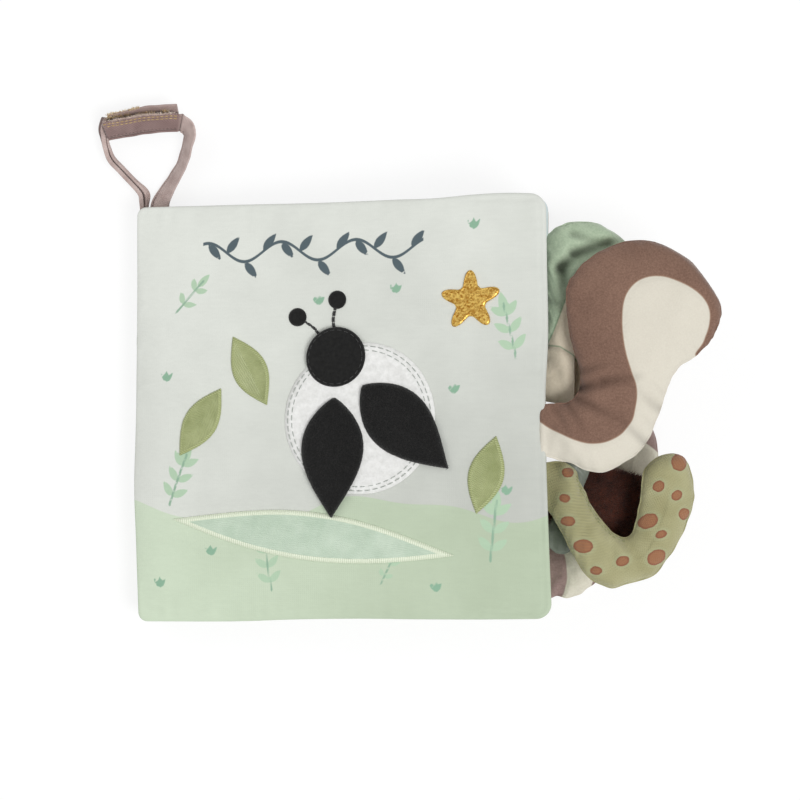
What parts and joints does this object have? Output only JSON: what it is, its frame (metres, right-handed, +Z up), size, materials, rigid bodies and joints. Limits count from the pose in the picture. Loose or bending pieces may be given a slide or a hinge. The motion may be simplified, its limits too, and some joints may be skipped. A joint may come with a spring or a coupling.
{
  "type": "crinkle cloth book",
  "caption": "Soft square cloth book with padded covers and crinkle leaves, stuffed tails sewn into the fore-edges and a closable strap loop at the spine.",
  "frame": {"origin": "middle of the back cover's flat underside", "axes": "+X from the spine towards the fore-edge and the tails, +Y towards the top edge and the strap loop, +Z up out of the front cover"},
  "size_m": [0.2719, 0.2259, 0.0571],
  "materials": {
    "cover_cloth": "matt printed cotton",
    "page_cloth": "matt printed cotton",
    "lining_cloth": "matt printed cotton",
    "batting": "loose polyester fibre",
    "crinkle_film": "thin crackling film",
    "fibre_filling": "loose polyester fibre",
    "brown_suede": "brown suede cloth with a cream velour panel",
    "green_velour": "short-pile velour, green and cream",
    "spotted_jersey": "printed jersey with brown spots",
    "slate_satin": "dark smooth satin",
    "banded_velour": "velour in mauve and cream bands",
    "dark_plush": "long dark pile",
    "ribbon": "matt grey-brown woven ribbon",
    "hook_tape": "beige hook tape",
    "white_minky": "short soft pile",
    "black_felt": "flat black felt",
    "black_plush": "black pile",
    "green_satin": "pale green satin",
    "olive_satin": "olive satin with an embroidered border",
    "gold_glitter": "gold glitter cloth"
  },
  "bodies": {
    "back_cover": {"back_cover_outer_cloth": "page_cloth", "back_cover_batting": "batting", "back_cover_crinkle_film": "crinkle_film", "back_cover_lining": "lining_cloth"},
    "leaf_2": {"leaf_2_upper_cloth": "page_cloth", "leaf_2_batting": "batting", "leaf_2_crinkle_film": "crinkle_film", "leaf_2_lower_cloth": "lining_cloth"},
    "leaf_1": {"leaf_1_upper_cloth": "page_cloth", "leaf_1_batting": "batting", "leaf_1_crinkle_film": "crinkle_film", "leaf_1_lower_cloth": "lining_cloth"},
    "front_cover": {"front_cover_outer_cloth": "cover_cloth", "front_cover_batting": "batting", "front_cover_crinkle_film": "crinkle_film", "front_cover_lining": "lining_cloth", "applique_disc": "white_minky", "applique_head": "black_felt", "applique_feeler_left": "black_felt", "applique_feeler_right": "black_felt", "applique_blade": "green_satin", "applique_leaf_1": "olive_satin", "applique_leaf_2": "olive_satin", "applique_leaf_3": "olive_satin", "applique_star": "gold_glitter"},
    "wing_left": {"plush_wing_left": "black_plush"},
    "wing_right": {"plush_wing_right": "black_plush"},
    "tail_brown": {"tail_brown_skin": "brown_suede", "tail_brown_filling": "fibre_filling"},
    "tail_green": {"tail_green_skin": "green_velour", "tail_green_filling": "fibre_filling"},
    "tail_spotted": {"tail_spotted_skin": "spotted_jersey", "tail_spotted_filling": "fibre_filling"},
    "tail_slate": {"tail_slate_skin": "slate_satin", "tail_slate_filling": "fibre_filling"},
    "tail_banded": {"tail_banded_skin": "banded_velour", "tail_banded_filling": "fibre_filling"},
    "tail_dark": {"tail_dark_skin": "dark_plush", "tail_dark_filling": "fibre_filling"},
    "strap": {"strap_left_arm": "ribbon", "strap_right_arm": "ribbon", "strap_loop_patch": "ribbon"},
    "strap_flap": {"strap_flap": "ribbon", "strap_hook_patch": "hook_tape"}
  },
  "joints": [
    {"name": "leaf_2_turn", "type": "hinge", "parent": "back_cover", "child": "leaf_2", "pos_m": [-0.091, 0, 0.00585], "axis": [0, -1, 0], "range_deg": [0, 95]},
    {"name": "leaf_1_turn", "type": "hinge", "parent": "leaf_2", "child": "leaf_1", "pos_m": [-0.091, 0, 0.01035], "axis": [0, 1, 0], "range_deg": [-165, 0]},
    {"name": "front_cover_turn", "type": "hinge", "parent": "leaf_1", "child": "front_cover", "pos_m": [-0.091, 0, 0.01485], "axis": [0, -1, 0], "range_deg": [0, 170]},
    {"name": "wing_left_lift", "type": "hinge", "parent": "front_cover", "child": "wing_left", "pos_m": [-0.00301, 0.00672, 0.04218], "axis": [-0.9122, -0.3746, -0.1658], "range_deg": [0, 130]},
    {"name": "wing_right_lift", "type": "hinge", "parent": "front_cover", "child": "wing_right", "pos_m": [0.00794, 0.01122, 0.04416], "axis": [-0.9122, -0.3746, -0.1658], "range_deg": [0, 130]},
    {"name": "tail_brown_lift", "type": "hinge", "parent": "front_cover", "child": "tail_brown", "pos_m": [0.08614, -0.00874, 0.0516], "axis": [0, -1, 0], "range_deg": [0, 110]},
    {"name": "tail_green_wag", "type": "hinge", "parent": "leaf_1", "child": "tail_green", "pos_m": [0.08763, 0.01465, 0.0364], "axis": [0, 0, 1], "range_deg": [-14, 0]},
    {"name": "tail_spotted_wag", "type": "hinge", "parent": "leaf_1", "child": "tail_spotted", "pos_m": [0.08783, -0.03185, 0.0364], "axis": [0, 0, 1], "range_deg": [-6, 6]},
    {"name": "tail_slate_wag", "type": "hinge", "parent": "leaf_2", "child": "tail_slate", "pos_m": [0.08941, -0.05205, 0.0257], "axis": [0, 0, 1], "range_deg": [-8, 8]},
    {"name": "tail_banded_wag", "type": "hinge", "parent": "back_cover", "child": "tail_banded", "pos_m": [0.09074, -0.07335, 0.0054], "axis": [0, 0, 1], "range_deg": [-6, 8]},
    {"name": "tail_dark_wag", "type": "hinge", "parent": "leaf_2", "child": "tail_dark", "pos_m": [0.08921, -0.04386, 0.0164], "axis": [0, 0, 1], "range_deg": [-8, 8]},
    {"name": "strap_lift", "type": "hinge", "parent": "back_cover", "child": "strap", "pos_m": [-0.083, 0.0913, 0.0102], "axis": [1, 0, 0], "range_deg": [0, 50]},
    {"name": "strap_flap_peel", "type": "hinge", "parent": "strap", "child": "strap_flap", "pos_m": [-0.1063, 0.1314, 0.0067], "axis": [0, 0, 1], "range_deg": [0, 90]}
  ]
}
